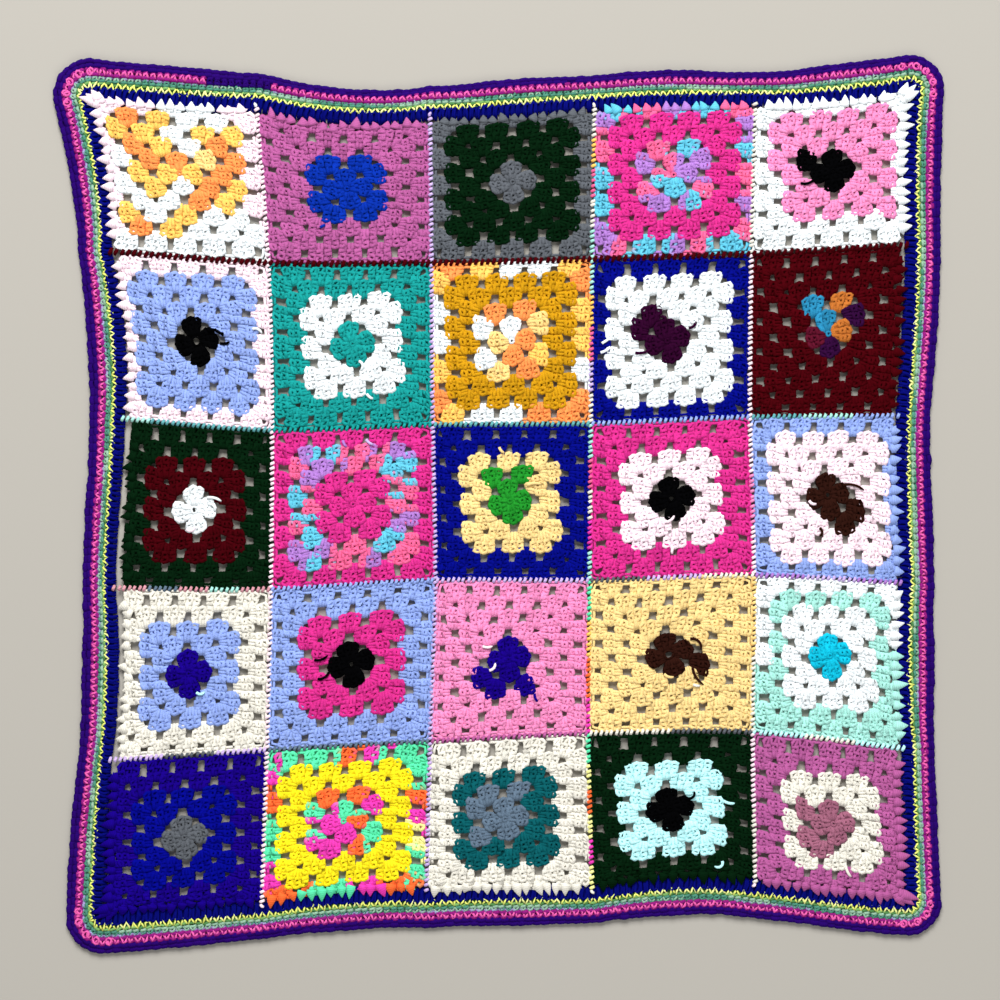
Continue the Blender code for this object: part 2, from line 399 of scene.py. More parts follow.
def joined(name, skein, material):
    """Join a skein's strands into one mesh object with a dye attribute and a UV map along each strand."""
    points, faces, uvs, colours = [], [], [], []
    first = 0
    for rings, lengths, dyes in skein:
        strands, count, sides, _ = rings.shape
        index = first + np.arange(strands * count * sides).reshape(strands, count, sides)
        following = np.roll(index, -1, axis=2)
        walls = np.stack((index[:, :-1], index[:, 1:], following[:, 1:], following[:, :-1]), axis=-1)
        starts = index[:, 0]
        ends = index[:, -1, ::-1]
        faces.append(walls.reshape(-1, 4))
        faces.append(starts.reshape(-1, 4))
        faces.append(ends.reshape(-1, 4))
        u = np.broadcast_to(lengths[:, :, None], (strands, count, sides))
        v = np.broadcast_to(np.arange(sides) / sides, (strands, count, sides))
        wall_u = np.stack((u[:, :-1], u[:, 1:], u[:, 1:], u[:, :-1]), axis=-1)
        wall_v = np.stack((v[:, :-1], v[:, 1:], v[:, 1:] + 1 / sides, v[:, :-1] + 1 / sides), axis=-1)
        uvs.append(np.stack((wall_u, wall_v), axis=-1).reshape(-1, 2))
        for cap in (0, -1):
            flat = np.stack((u[:, cap], v[:, cap]), axis=-1)
            uvs.append(flat.reshape(-1, 2))
        points.append(rings.reshape(-1, 3))
        paint = np.repeat(dyes[:, :, None], sides, axis=2)
        colours.append(paint.reshape(-1, 3))
        first += strands * count * sides
    points = np.vstack(points) * MM
    faces = np.vstack(faces)
    uvs = np.vstack(uvs)
    colours = np.hstack((np.vstack(colours), np.ones((len(points), 1))))
    mesh = bpy.data.meshes.new(name)
    mesh.vertices.add(len(points))
    mesh.vertices.foreach_set("co", points.ravel())
    mesh.loops.add(faces.size)
    mesh.loops.foreach_set("vertex_index", faces.ravel().astype(np.int32))
    mesh.polygons.add(len(faces))
    mesh.polygons.foreach_set("loop_start", np.arange(0, faces.size, 4, dtype=np.int32))
    mesh.update(calc_edges=True)
    layer = mesh.uv_layers.new(name="strand")
    layer.data.foreach_set("uv", uvs.ravel())
    dye = mesh.attributes.new("dye", "FLOAT_COLOR", "POINT")
    dye.data.foreach_set("color", colours.ravel())
    mesh.polygons.foreach_set("use_smooth", np.ones(len(faces), dtype=bool))
    mesh.materials.append(material)
    thing = bpy.data.objects.new(name, mesh)
    bpy.context.collection.objects.link(thing)
    return thing


TRIANGLES = {}


def note(thing):
    """Keep count of a piece's triangles."""
    TRIANGLES[thing.name] = sum(len(face.vertices) - 2 for face in thing.data.polygons)
    return thing


# %% [markdown]
# ## The pattern of a granny square
# Round n has 4n clusters of three tall stitches. Each cluster is worked into a gap of the
# round before, and leaves a gap on either side of it. Gaps and clusters therefore
# stand on one regular lattice, a gap apart along a side and half a gap apart from
# round to round. A cluster is a fan: narrow where it grips the gap, wide at its top.

# %% Measures of a square (mm)
ROUNDS = 5
GAP_PITCH = 22.8          # from one gap to the next along a side
ROUND_PITCH = 11.4        # from one round to the next
FOOT_RISE = 3.3           # a cluster's foot lies this far outside the middle of the gap it grips
HEAD_RISE = 6.8           # its head lies this far outside the middle of its own round's gaps
EDGE = 61.9               # the last round's head, drawn tight against the seam
FREE_EDGE = 60.0          # and where the border is worked over it instead
LEAN = 0.3                # a stitch's head sits a little to the right of its foot
FOOT_WIDTH = 4.4          # one stitch's share of the fan's width, at its foot
CORNER_FOOT_WIDTH = 3.6   # two fans share the gap at a corner
HEAD_WIDTH = 5.8          # and at its head
FREE_HEAD_WIDTH = 7.4     # the border holds the last fans wide open, side by side
CORNER_TURN = 14.0        # degrees that a corner fan's foot turns to its corner
DOME = 1.1                # the outer stitches of a fan stand lower than the middle one
PETAL_DOME = 1.9          # and those of a middle petal lower still
TWIST_FADE = 12.0         # the centre's twist fades away over this distance
SLOW_TWIST = 3.5          # degrees of twist that fade only at the seams
EDGE_HOLD = 6.0           # the seam holds the edge in place over this width
TOOTH = 5.7               # the border holds the last round back this far behind its tongues' tips
BITE = 0.8                # the share of what lies further out that the border presses back


def cluster_list():
    """Round, side and place of every cluster, clockwise from the top left of each round."""
    return [(n, k, i) for n in range(1, ROUNDS + 1) for k in range(4) for i in range(n)]


CLUSTERS = cluster_list()
# how far the tongues reach over the border on the top, right, bottom and left side of the
# blanket (mm from a square's middle), from left to right or from the top down
TIPS = (
    (66.0, 62.0, 62.0, 64.0, 66.0),
    (64.0, 61.0, 64.0, 66.0, 62.0),
    (64.0, 66.0, 67.0, 65.0, 66.0),
    (63.0, 61.0, 57.0, 57.0, 62.0),
)
print(len(CLUSTERS), "clusters in a square")


def is_free(row, column, k):
    """Whether side k of a square lies on the blanket's own edge."""
    last = SQUARES - 1
    return np.choose(k, (row == 0, column == last, row == last, column == 0)).astype(bool)


def fan(n, i, across, up, ring, free, full):
    """Points of a fan in the top side's own measure (mm).

    n and i choose the cluster, across counts stitches from its middle, and up goes from foot (0)
    to head (1). ring is how open the starting ring is, free tells a side on the blanket's own
    edge, and full is how wide the square's clusters are.
    """
    middle = (i - (n - 1) / 2) * GAP_PITCH
    foot_y = np.where(n == 1, ring, ROUND_PITCH * (n - 1) + FOOT_RISE)
    last_y = np.where(free, FREE_EDGE, EDGE)
    head_y = np.where(n == ROUNDS, last_y, ROUND_PITCH * n + HEAD_RISE)
    left = ((i == 0) & (n > 1)) * 1.0
    right = ((i == n - 1) & (n > 1)) * 1.0
    corner = np.maximum(left, right)
    foot_x = middle - LEAN + (left - right) * 0.6
    head_x = middle + LEAN + (right - left) * 0.9
    foot_turn = np.radians(CORNER_TURN) * (left - right)
    foot_width = FOOT_WIDTH + (CORNER_FOOT_WIDTH - FOOT_WIDTH) * corner
    foot_width = np.where(n == 1, 1.2 + 0.4 * ring, foot_width)
    rise = np.clip(up, 0, 1)
    turn = foot_turn * (1 - rise)
    open_wide = free & (n == ROUNDS)
    spread = np.where(open_wide, rise, 1 - (1 - rise) ** 3)
    spread = np.where(n == 1, np.sin(math.pi * 0.66 * rise), spread)
    head_width = np.where(open_wide, FREE_HEAD_WIDTH, HEAD_WIDTH)
    width = foot_width + (head_width - foot_width) * spread
    width = np.where(open_wide | (n == 1), width, width * full)
    drop = np.where(n == 1, PETAL_DOME, DOME) * across**2 * rise**2
    x = foot_x + (head_x - foot_x) * up
    y = foot_y + (head_y - foot_y) * up
    x = x + np.cos(turn) * across * width + np.sin(turn) * drop
    y = y + np.sin(turn) * across * width - np.cos(turn) * drop
    return x, y


def turned_to_side(k, x, y):
    """Turn points from the top side to side k, clockwise."""
    xs = np.choose(k, (x, y, -x, -y))
    ys = np.choose(k, (y, -x, -y, x))
    return xs, ys


def held(places, low_free, high_free):
    """How freely points lie along one axis: 1 inside, falling to 0 at an edge that is held in place."""
    free = np.clip((SIDE / 2 - abs(places)) / EDGE_HOLD, 0, 1)
    return np.where(np.where(places < 0, low_free, high_free), 1.0, free)


def tip_of(row, column, k):
    """How far the tongues reach over the border on side k of a square."""
    return TIPS[k][(column, row)[k % 2]]


def held_back(places, low_free, high_free, low_tip, high_tip):
    """Press what would lie under the border back to its edge."""
    edge = np.where(places < 0, low_tip, high_tip) - TOOTH
    over = np.maximum(abs(places) - edge, 0) * np.where(places < 0, low_free, high_free)
    return places - np.sign(places) * over * BITE


def settled(x, y, key, sewn_down=False):
    """Settle a true square's points into the lie of a hand-made one.

    A sewn edge keeps its place, and with sewn_down the blanket's own edges keep theirs too.
    The starting ring has a place of its own, which the middle of the pattern follows.
    """
    twist, shift, ring = LIE[key]
    middle_shift = (ring[0] - shift[0], ring[1] - shift[1])
    row, column = key[0] - 1, key[1] - 1
    open_side = [is_free(row, column, k) and not sewn_down for k in range(4)]
    tips = [tip_of(row, column, k) for k in range(4)]
    free_x = held(x, open_side[3], open_side[1])
    free_y = held(y, open_side[2], open_side[0])
    far = (x**4 + y**4) ** 0.25
    inside = np.clip(1 - far / (SIDE / 2), 0, 1)
    angle = math.radians(twist) * np.exp(-np.maximum(far - TWIST_FADE, 0) / TWIST_FADE)
    angle = angle + math.radians(SLOW_TWIST) * inside
    size = 1 + (spread_of(key) - 1) * np.minimum(free_x, free_y)
    xs = size * (x * np.cos(angle) - y * np.sin(angle)) + middle_shift[0] * inside
    ys = size * (x * np.sin(angle) + y * np.cos(angle)) + middle_shift[1] * inside
    xs = held_back(xs + shift[0] * free_x, open_side[3], open_side[1], tips[3], tips[1])
    ys = held_back(ys + shift[1] * free_y, open_side[2], open_side[0], tips[2], tips[0])
    return xs, ys


def into_blanket(row, column, x, y):
    """Points of a square's own measure (mm) in the blanket's plan."""
    return plan(column + 0.5 + x / SIDE, row + 0.5 - y / SIDE)


# %% [markdown]
# ## One tall stitch
# Seen from its right side, a tall (double crochet) stitch shows its legs, two wraps that cross
# them, and its head, which lies along the edge. One strand draws them all here: up on the left,
# across and back again in the two wraps, over the head, and down behind the wraps.
# The path is written once: sideways in half stitch widths, up in shares of the stitch's
# height, and height over the floor in millimetres.

# %% The tall stitch's path
TALL_STITCH = np.array((
    (-0.46, -0.08, 3.3),
    (-0.50, 0.14, 3.8),
    (-0.52, 0.34, 4.0),
    (-0.90, 0.42, 3.9),
    (0.85, 0.45, 4.1),
    (0.62, 0.58, 4.0),
    (0.90, 0.69, 3.9),
    (-0.85, 0.72, 4.1),
    (-0.62, 0.84, 4.0),
    (-0.85, 0.93, 3.9),
    (0.05, 0.97, 4.2),
    (0.85, 0.94, 3.9),
    (0.60, 0.84, 3.9),
    (0.00, 0.70, 3.0),
    (-0.62, 0.57, 3.9),
    (0.30, 0.40, 3.2),
    (0.52, 0.16, 3.8),
    (0.46, -0.08, 3.3),
))
TALL_RADII = np.array((
    1.5, 1.8, 1.8, 1.8, 1.85, 1.6, 1.8, 1.85, 1.6,
    1.75, 1.8, 1.7, 1.6, 1.4, 1.6, 1.6, 1.8, 1.5,
))
print("a tall stitch has", (len(TALL_STITCH) - 1) * STRAND_SIDES + 2, "faces")

# %% [markdown]
# ## Which yarn goes where
# Each square is written as a maker would note it: the yarn of each round from the middle out,
# and, for a ball dyed in runs, the colour of each cluster clockwise from the top left.
# Some squares carry their centre yarn on over the first clusters of the next round,
# because a short length had to be used up.

# %% The squares' yarns
PATTERN = {
    (1, 1): ("orange amber white amber",
             "amber white lemon orange orange white amber orange",
             "amber white amber orange orange amber white amber white white amber orange",
             "orange amber white white amber orange amber white "
             "white white amber orange amber white white amber",
             "blush blush white white blush blush blush blush blush white white white white white white "
             "blush blush blush blush blush"),
    (1, 2): ("royal", "royal", "mauve", "mauve", "mauve"),
    (1, 3): ("grey", "dark_green", "dark_green", "dark_green", "grey"),
    (1, 4): ("coral lilac aqua aqua",
             "coral aqua lilac coral aqua lilac coral lilac",
             "hot_pink", "hot_pink",
             "aqua coral lilac aqua coral lilac aqua coral lilac coral aqua coral lilac aqua coral "
             "lilac aqua aqua coral lilac"),
    (1, 5): ("black", "pink pink pink pink pink pink pink black", "pink",
             "pink pink pink pink pink pink pink pink white white white white white white pink pink",
             "white"),
    (2, 1): ("black", "periwinkle", "periwinkle", "periwinkle", "blush"),
    (2, 2): ("teal", "white", "white", "teal", "teal"),
    (2, 3): ("white orange orange lemon",
             "orange orange lemon amber orange lemon white white",
             "mustard", "mustard",
             "orange amber white white amber orange amber amber white orange "
             "orange orange white white amber orange amber white white amber"),
    (2, 4): ("plum", "plum white white white white white white plum", "white", "white", "navy"),
    (2, 5): ("lake ember purple red", "lake ember purple maroon maroon maroon maroon maroon",
             "maroon", "maroon", "maroon"),
    (3, 1): ("white", "dark_red", "dark_red", "dark_green", "dark_green"),
    (3, 2): ("hot_pink", "hot_pink",
             "lilac coral coral aqua coral lilac aqua coral lilac aqua coral lilac",
             "lilac aqua coral lilac aqua coral lilac coral coral lilac coral aqua lilac coral aqua coral",
             "hot_pink"),
    (3, 3): ("green", "green green butter butter butter butter butter butter", "butter", "navy", "navy"),
    (3, 4): ("black", "blush", "blush", "hot_pink", "hot_pink"),
    (3, 5): ("brown", "blush blush blush brown brown blush blush blush", "blush", "blush", "periwinkle"),
    (4, 1): ("indigo", "periwinkle", "periwinkle", "cream", "cream"),
    (4, 2): ("black", "hot_pink", "hot_pink", "periwinkle", "periwinkle"),
    (4, 3): ("indigo", "pink pink pink pink indigo indigo indigo pink", "pink", "pink", "pink"),
    (4, 4): ("brown", "butter butter butter brown butter butter butter butter",
             "butter", "butter", "butter"),
    (4, 5): ("turquoise", "white", "white", "mint",
             "white white white white white white white mint mint mint mint mint mint mint mint "
             "mint mint white white white"),
    (5, 1): ("grey", "royal_navy", "royal_navy", "indigo", "indigo"),
    (5, 2): ("neon_mint neon_orange neon_magenta neon_magenta",
             "neon_orange neon_orange neon_magenta neon_mint "
             "neon_orange neon_magenta neon_magenta neon_mint",
             "sun", "sun",
             "neon_mint neon_mint neon_orange neon_magenta neon_mint neon_mint neon_orange neon_magenta "
             "neon_lemon neon_mint neon_orange neon_magenta neon_mint neon_mint neon_orange "
             "neon_magenta neon_mint neon_mint neon_orange neon_magenta"),
    (5, 3): ("slate", "slate slate deep_teal deep_teal deep_teal deep_teal slate slate",
             "deep_teal", "cream", "cream"),
    (5, 4): ("black", "ice", "ice", "dark_green", "dark_green"),
    (5, 5): ("rose", "cream cream cream cream cream rose rose rose", "cream", "mauve", "mauve"),
}

# how each square differs from a true one: the twist of its middle (degrees), then how far the
# whole pattern and its starting ring sit to the right and up (mm)
SLIGHT, USUAL, STRONG = 5, 10, 14
LIE = {
    (1, 1): (SLIGHT, (-2, 4), (-2, 6)),
    (1, 2): (SLIGHT, (0, 2), (0, 2)),
    (1, 3): (SLIGHT, (0, 3), (0, 4)),
    (1, 4): (SLIGHT, (1, 3), (0, 4)),
    (1, 5): (SLIGHT, (1, 3), (2, 3)),
    (2, 1): (STRONG, (0, -1), (1, 0)),
    (2, 2): (STRONG, (1, 0), (1, 1)),
    (2, 3): (SLIGHT, (-1, 1), (0, 1)),
    (2, 4): (STRONG, (-1, -1), (-3, -2)),
    (2, 5): (USUAL, (0, -1), (0, -1)),
    (3, 1): (USUAL, (1, -2), (1, -2)),
    (3, 2): (SLIGHT, (0, 0), (0, 2)),
    (3, 3): (USUAL, (-1, -1), (-2, 1)),
    (3, 4): (USUAL, (0, 0), (0, 1)),
    (3, 5): (USUAL, (2, -1), (1, 2)),
    (4, 1): (SLIGHT, (-1, -2), (-2, -1)),
    (4, 2): (USUAL, (0, 0), (0, 1)),
    (4, 3): (SLIGHT, (-1, -2), (-2, -1)),
    (4, 4): (STRONG, (0, 0), (-2, 0)),
    (4, 5): (USUAL, (2, 0), (2, 3)),
    (5, 1): (USUAL, (0, -4), (1, -4)),
    (5, 2): (SLIGHT, (-2, -3), (-2, -1)),
    (5, 3): (USUAL, (-2, -4), (-3, -5)),
    (5, 4): (USUAL, (-1, -3), (-2, -3)),
    (5, 5): (STRONG, (0, -4), (2, -6)),
}
SNUG = {(2, 2), (2, 4), (3, 2), (3, 4)}                          # worked a little tighter
THICK = {(1, 2), (1, 4), (2, 2), (2, 3), (3, 2), (3, 4), (5, 5)}  # thicker yarn, smaller gaps
OPEN_RING = {(2, 1): 4.0, (4, 4): 4.0, (3, 1): 3.0, (3, 4): 3.0, (3, 5): 3.0, (4, 2): 3.0}


def spread_of(key):
    """How widely a square is worked: 1 is true to size."""
    return 0.95 if key in SNUG else 0.985


def fullness(key):
    """How wide a square's clusters are, for its gaps."""
    return 1.07 if key in THICK else 1.03


def ring_of(key):
    """How open a square's starting ring is (mm)."""
    return OPEN_RING.get(key, 2.0)


def rounds_of(key):
    """The yarns of a square's clusters, a list for each round from the middle out."""
    for n, words in enumerate(PATTERN[key], start=1):
        names = words.split()
        yield names if len(names) == 4 * n else names * (4 * n)


def cluster_dyes(key):
    """A dye for each cluster of a square, in the order of CLUSTERS."""
    return np.array([DYE[name] for names in rounds_of(key) for name in names])


CONFETTI = {(1, 4), (3, 2), (5, 2)}  # in these squares the colours change within a cluster


def stitch_dyes(key):
    """A dye for every point of every tall stitch; in some squares it changes on the way up."""
    late = np.clip(np.linspace(-1.2, 1.0, len(TALL_STITCH)), 0, 1)[None, :, None]
    dyes = []
    for n, names in enumerate(rounds_of(key), start=1):
        run = np.repeat([DYE[name] for name in names], 3, axis=0)
        following = run
        if key in CONFETTI:
            early = np.repeat(chance.integers(-1, 2, 4 * n), 3)
            run = run[(np.arange(12 * n) + early) % (12 * n)]
            following = np.roll(run, -1, axis=0)
        dyes.append(run[:, None] + (following - run)[:, None] * late)
    return np.vstack(dyes)


# %% [markdown]
# ## Working a square
# All the tall stitches of a square are worked in one go. Small seeded differences from
# cluster to cluster and from stitch to stitch keep the work hand-made.

# %% Work the stitches of one square
CLUSTER_WANDER = 0.45     # mm that a cluster strays from its place
STITCH_WANDER = 0.18      # mm that each of its stitches strays further
EDGE_WANDER = 0.5         # the share of this straying that is left to the last round
LIFT_WANDER = 0.03        # share of a stitch's height
THICK_WANDER = 0.04       # share of its thickness
SHADE_WANDER = 0.05       # share of its dye's light
PRESSED = 0.8             # mm that the border presses the last round down


def tall_stitches(skein, key):
    """Add all the tall stitches of a square."""
    row, column = key[0] - 1, key[1] - 1
    table = np.repeat(np.array(CLUSTERS), 3, axis=0)
    n, k, i = (table[:, c, None] for c in range(3))
    which = np.tile((-1, 0, 1), len(CLUSTERS))[:, None]
    across = which + TALL_STITCH[None, :, 0] / 2
    up = np.broadcast_to(TALL_STITCH[None, :, 1], across.shape)
    x, y = fan(n, i, across, up, ring_of(key), is_free(row, column, k), fullness(key))
    x, y = turned_to_side(k, x, y)
    wander = np.repeat(chance.normal(0, CLUSTER_WANDER, (len(CLUSTERS), 2)), 3, axis=0)
    wander += chance.normal(0, STITCH_WANDER, wander.shape)
    settle = np.where(n[:, 0] == ROUNDS, EDGE_WANDER, 1.0)[:, None]
    x = x + (wander * settle)[:, :1]
    y = y + (wander * settle)[:, 1:]
    x, y = settled(x, y, key)
    place = into_blanket(row, column, x, y)
    lift = TALL_STITCH[None, :, 2] * chance.normal(1.0, LIFT_WANDER, across.shape[:1])[:, None]
    pressed = is_free(row, column, k) & (n == ROUNDS)
    lift = lift - np.where(pressed, PRESSED * np.clip(up, 0, 1), 0)
    paths = np.concatenate((place, np.broadcast_to(lift, across.shape)[..., None]), axis=-1)
    thick = TALL_RADII[None] * chance.normal(1.0, THICK_WANDER, across.shape[:1])[:, None]
    dyes = stitch_dyes(key)
    dyes = dyes * chance.normal(1.0, SHADE_WANDER, (len(dyes), 1, 1))
    wind(skein, paths, thick, np.clip(dyes, 0, 1))


# %% [markdown]
# The square starts with a few chains closed into a ring. Drawn tight it disappears in the
# middle of the petals; left open it shows as a round hole with a thick rim.

# %% The starting ring
RING_POINTS = 14
RING_HEIGHT = 4.2         # mm over the floor
RING_RADIUS = 1.15        # mm, of its strand
RING_SHADE = 0.9          # it lies a little deeper than the petals, in less light


def starting_ring(skein, key):
    """Add the ring of chains that a square starts from."""
    row, column = key[0] - 1, key[1] - 1
    angles = np.linspace(0, 2 * math.pi, RING_POINTS)
    reach = ring_of(key) * 0.85 + 0.15 * np.cos(3 * angles)
    x, y = settled(reach * np.cos(angles), reach * np.sin(angles), key)
    place = into_blanket(row, column, x, y)
    lift = RING_HEIGHT + 0.2 * np.cos(5 * angles)
    # painted shade: the ring's dye is darkened because it lies deeper, in less light
    dye = cluster_dyes(key)[:1] * RING_SHADE
    wind(skein, np.column_stack((place, lift))[None], RING_RADIUS, dye)


# %% [markdown]
# Along the last round the clusters are joined by chains, two strands wide, and at each sewn
# corner a longer chain turns the corner. The seam pulls them straight.

# %% Chains of the last round
# along it in shares of its reach, out in shares of its bow, and height (mm)
CHAIN = np.array((
    (-1.0, 0.0, 3.2), (-0.5, 0.25, 3.9), (0.0, 0.1, 4.0), (0.5, 0.3, 3.9), (1.0, 0.0, 3.2),
))
CHAIN_REACH = 4.6         # mm from its middle to either end
CHAIN_BOW = 1.4           # mm
CHAIN_RADIUS = 1.35       # mm
CHAIN_INSETS = (1.2, 3.6)       # how far its two strands lie behind the edge (mm)
CORNER_INSETS = (0.0, 2.2)      # and those of a corner's chain


def edge_chains(skein, key):
    """Add the chains along the sewn sides of a square's last round."""
    row, column = key[0] - 1, key[1] - 1
    dyes = cluster_dyes(key)[-4 * ROUNDS:]
    paths, colours = [], []
    for k in range(4):
        if is_free(row, column, k):
            continue
        for i in range(ROUNDS - 1):
            x = (i - (ROUNDS - 2) / 2) * GAP_PITCH + LEAN + CHAIN[:, 0] * CHAIN_REACH
            for inset in CHAIN_INSETS:
                y = EDGE - inset + CHAIN[:, 1] * CHAIN_BOW
                xs, ys = turned_to_side(k, x, y)
                place = into_blanket(row, column, xs, ys)
                paths.append(np.column_stack((place, CHAIN[:, 2])))
                colours.append(dyes[k * ROUNDS + i])
        if is_free(row, column, (k + 3) % 4):
            continue
        reach = EDGE - 0.6
        x = np.array((-52.5, -56.5, -60.0, -61.2, -61.4))
        y = np.array((reach - 0.8, reach, reach - 0.4, reach - 3.8, reach - 8.0))
        for inset in CORNER_INSETS:
            xs, ys = turned_to_side(k, x + inset, y - inset)
            place = into_blanket(row, column, xs, ys)
            paths.append(np.column_stack((place, CHAIN[:, 2] - inset * 0.3)))
            colours.append(dyes[k * ROUNDS])
    if paths:
        wind(skein, np.array(paths), CHAIN_RADIUS, np.array(colours))


# %% [markdown]
# Where a square has no neighbour, the border is worked into its last round. The border's
# thin dark yarn bites into the edge there and leaves the tops of the stitches standing
# out over it as soft pointed tongues.

# %% Tongues over the border
# across it (mm), from foot to tip in shares of its length, and height (mm)
TONGUE = np.array((
    (0.0, 0.00, 3.6), (0.2, 0.25, 3.8), (0.2, 0.50, 4.0), (0.0, 0.78, 4.2), (-0.2, 1.00, 4.2),
))
TONGUE_RADII = np.array((4.8, 5.0, 4.0, 2.1, 0.5))
TONGUE_FLAT = 0.5         # half as high as it is wide
TONGUE_PITCH = 7.6        # mm
TONGUE_FOOT = 54.5        # mm from the square's middle
TONGUE_SHORTEST = 8.0     # mm from foot to tip
CORNER_TONGUES = (-26.0, 0.0, 26.0)  # degrees either side of a free corner's diagonal


def tongue_places(row, column):
    """Side, foot, tip and dye number of every tongue, in that side's own measure."""
    for k in range(4):
        if not is_free(row, column, k):
            continue
        for i in range(ROUNDS):
            middle = (i - (ROUNDS - 1) / 2) * GAP_PITCH
            for step in (-TONGUE_PITCH, 0.0, TONGUE_PITCH):
                foot = middle + LEAN + step + chance.normal(0, 0.4)
                lean = chance.normal(-0.8, 1.5)
                tip = tip_of(row, column, k) + chance.normal(0, 1.3)
                low = min(TONGUE_FOOT, tip - TONGUE_SHORTEST)
                yield k, (foot, low), (foot + lean, tip), k * ROUNDS + i
        if is_free(row, column, (k + 3) % 4):
            for turn in CORNER_TONGUES:
                foot = (-TONGUE_FOOT - 1.0 + turn * 0.05, TONGUE_FOOT + 1.0 + turn * 0.05)
                way = math.radians(135 - turn)
                length = chance.uniform(11.0, 15.0)
                tip = (foot[0] + length * math.cos(way), foot[1] + length * math.sin(way))
                yield k, foot, tip, k * ROUNDS


def tongues(skein, key):
    """Add the tongues of a square's free sides."""
    row, column = key[0] - 1, key[1] - 1
    dyes = cluster_dyes(key)[-4 * ROUNDS:]
    paths, colours = [], []
    for k, foot, tip, number in tongue_places(row, column):
        foot = np.array(settled(*turned_to_side(k, *foot), key))
        tip = np.array(settled(*turned_to_side(k, *tip), key, sewn_down=True))
        up = tip - foot
        across = np.array((up[1], -up[0])) / np.hypot(*up)
        x, y = (foot + TONGUE[:, :1] * across + TONGUE[:, 1:2] * up).T
        place = into_blanket(row, column, x, y)
        paths.append(np.column_stack((place, TONGUE[:, 2])))
        colours.append(dyes[number])
    if paths:
        thick = TONGUE_RADII[None] * chance.normal(1.0, 0.08, (len(paths), 1))
        wind(skein, np.array(paths), thick, np.array(colours), TONGUE_FLAT)


# %% [markdown]
# ## The ground of a square
# Behind the stitches lies the body of the cloth. One small patch lies under each fan,
# a little narrower than it, so that the gaps stay open to the floor. Extruding the patches
# down to a flat underside closes them, and together they make one piece for each square.

# %% Lay the ground of one square
def give_underside(bm, height):
    """Close a sheet's upper side with walls and a flat underside at this height (mm)."""
    lower = bmesh.ops.extrude_face_region(bm, geom=bm.faces[:], use_keep_orig=True)["geom"]
    for spot in lower:
        if isinstance(spot, bmesh.types.BMVert):
            spot.co.z = height * MM
    bmesh.ops.recalc_face_normals(bm, faces=bm.faces)


GROUND_ACROSS = (-1.40, -0.5, 0.5, 1.40)
GROUND_UP = (0.02, 0.55, 0.82, 0.97)
GROUND_HEIGHT = 4.5       # mm, its upper side between the stitches
DIMPLE_HEIGHT = 3.3       # in the four dimples of a fan
RIM_HEIGHT = 3.3          # and at the fan's sides
UNDERSIDE = 0.2           # its lower side, just clear of the floor
PALE_RISE = 0.9           # mm by which the dimples of the palest yarn would be shallower
DEEP = 0.90               # how much of the dye's light is left between the stitches
DARKEST = 0.15            # and in the four dimples between the stitches of a fan,
PALE_SHARE = 0.45         # where a pale yarn hands more of it on


def node_of(key):
    """The name of a square's solid in the frame."""
    return f"square_r{key[0]}c{key[1]}"


def square_ground(key):
    """Make the ground of a square; returns it and the flat area of its upper side."""
    name = node_of(key)
    row, column = key[0] - 1, key[1] - 1
    dyes = cluster_dyes(key)
    bm = bmesh.new()
    layer = bm.verts.layers.float_color.new("dye")
    table = np.array(CLUSTERS)
    n, k, i = (table[:, c, None, None] for c in range(3))
    across, up = np.meshgrid(GROUND_ACROSS, GROUND_UP)
    free, full = is_free(row, column, k), fullness(key)
    x, y = fan(n, i, across[None], up[None], ring_of(key), free, full)
    x, y = turned_to_side(k, x, y)
    x, y = settled(x, y, key)
    place = into_blanket(row, column, x, y) * MM
    for patch, dye in zip(place, dyes):
        rows = []
        for line in patch:
            spots = [bm.verts.new((*spot, GROUND_HEIGHT * MM)) for spot in line]
            # painted shade: the ground takes its cluster's dye darkened by DEEP, as less light comes
            # between the stitches
            for spot in spots:
                spot[layer] = (*(dye * DEEP), 1.0)
            rows.append(spots)
        # painted shade: the four dimples between a fan's stitches are darkened further, a pale yarn less
        for dimple in (rows[1][1], rows[1][2], rows[2][1], rows[2][2]):
            dimple[layer] = (*(dye * (DARKEST + PALE_SHARE * dye.mean())), 1.0)
            dimple.co.z = (DIMPLE_HEIGHT + PALE_RISE * dye.mean()) * MM
        for line in rows:
            for rim in (line[0], line[-1]):
                rim.co.z = RIM_HEIGHT * MM
        for low, high in zip(rows, rows[1:]):
            for a in range(len(low) - 1):
                bm.faces.new((low[a], low[a + 1], high[a + 1], high[a]))
    area = sum(face.calc_area() for face in bm.faces)
    give_underside(bm, UNDERSIDE)
    mesh = bpy.data.meshes.new(name + "_ground")
    bm.to_mesh(mesh)
    bm.free()
    mesh.materials.append(FELT)
    thing = bpy.data.objects.new(name + "_ground", mesh)
    bpy.context.collection.objects.link(thing)
    return thing, area


# %% Make all the squares
for key in PATTERN:
    node = node_of(key)
    skein = []
    tall_stitches(skein, key)
    starting_ring(skein, key)
    edge_chains(skein, key)
    tongues(skein, key)
    stitches = note(joined(node + "_stitches", skein, WORSTED))
    ground, area = square_ground(key)
    note(ground)
    for piece in (stitches, ground):
        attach(piece, "root")
        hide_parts(node)
print("squares:", sum(TRIANGLES.values()), "triangles so far")

# %% [markdown]
# ## The border
# Five narrow rounds of short stitches go round the blanket. Each is worked over the heads of
# the one before, and the strands of the navy and the lime round are seen to reach back over
# them. A stitch is again a path: in millimetres along the round, in shares of the round's own
# width across it, and in millimetres over the floor.

# %% Places on the border
BORDER_SHARES = (0.255, 0.170, 0.140, 0.175, 0.260)  # of its width, from the squares outwards
NAVY_ROUND, LIME_ROUND, GREEN_ROUND, PINK_ROUND, VIOLET_ROUND = range(5)
STITCH_PITCH = 5.6        # mm from one stitch of the three middle rounds to the next
BORDER_WANDER = 0.25      # mm that a stitch strays along its round
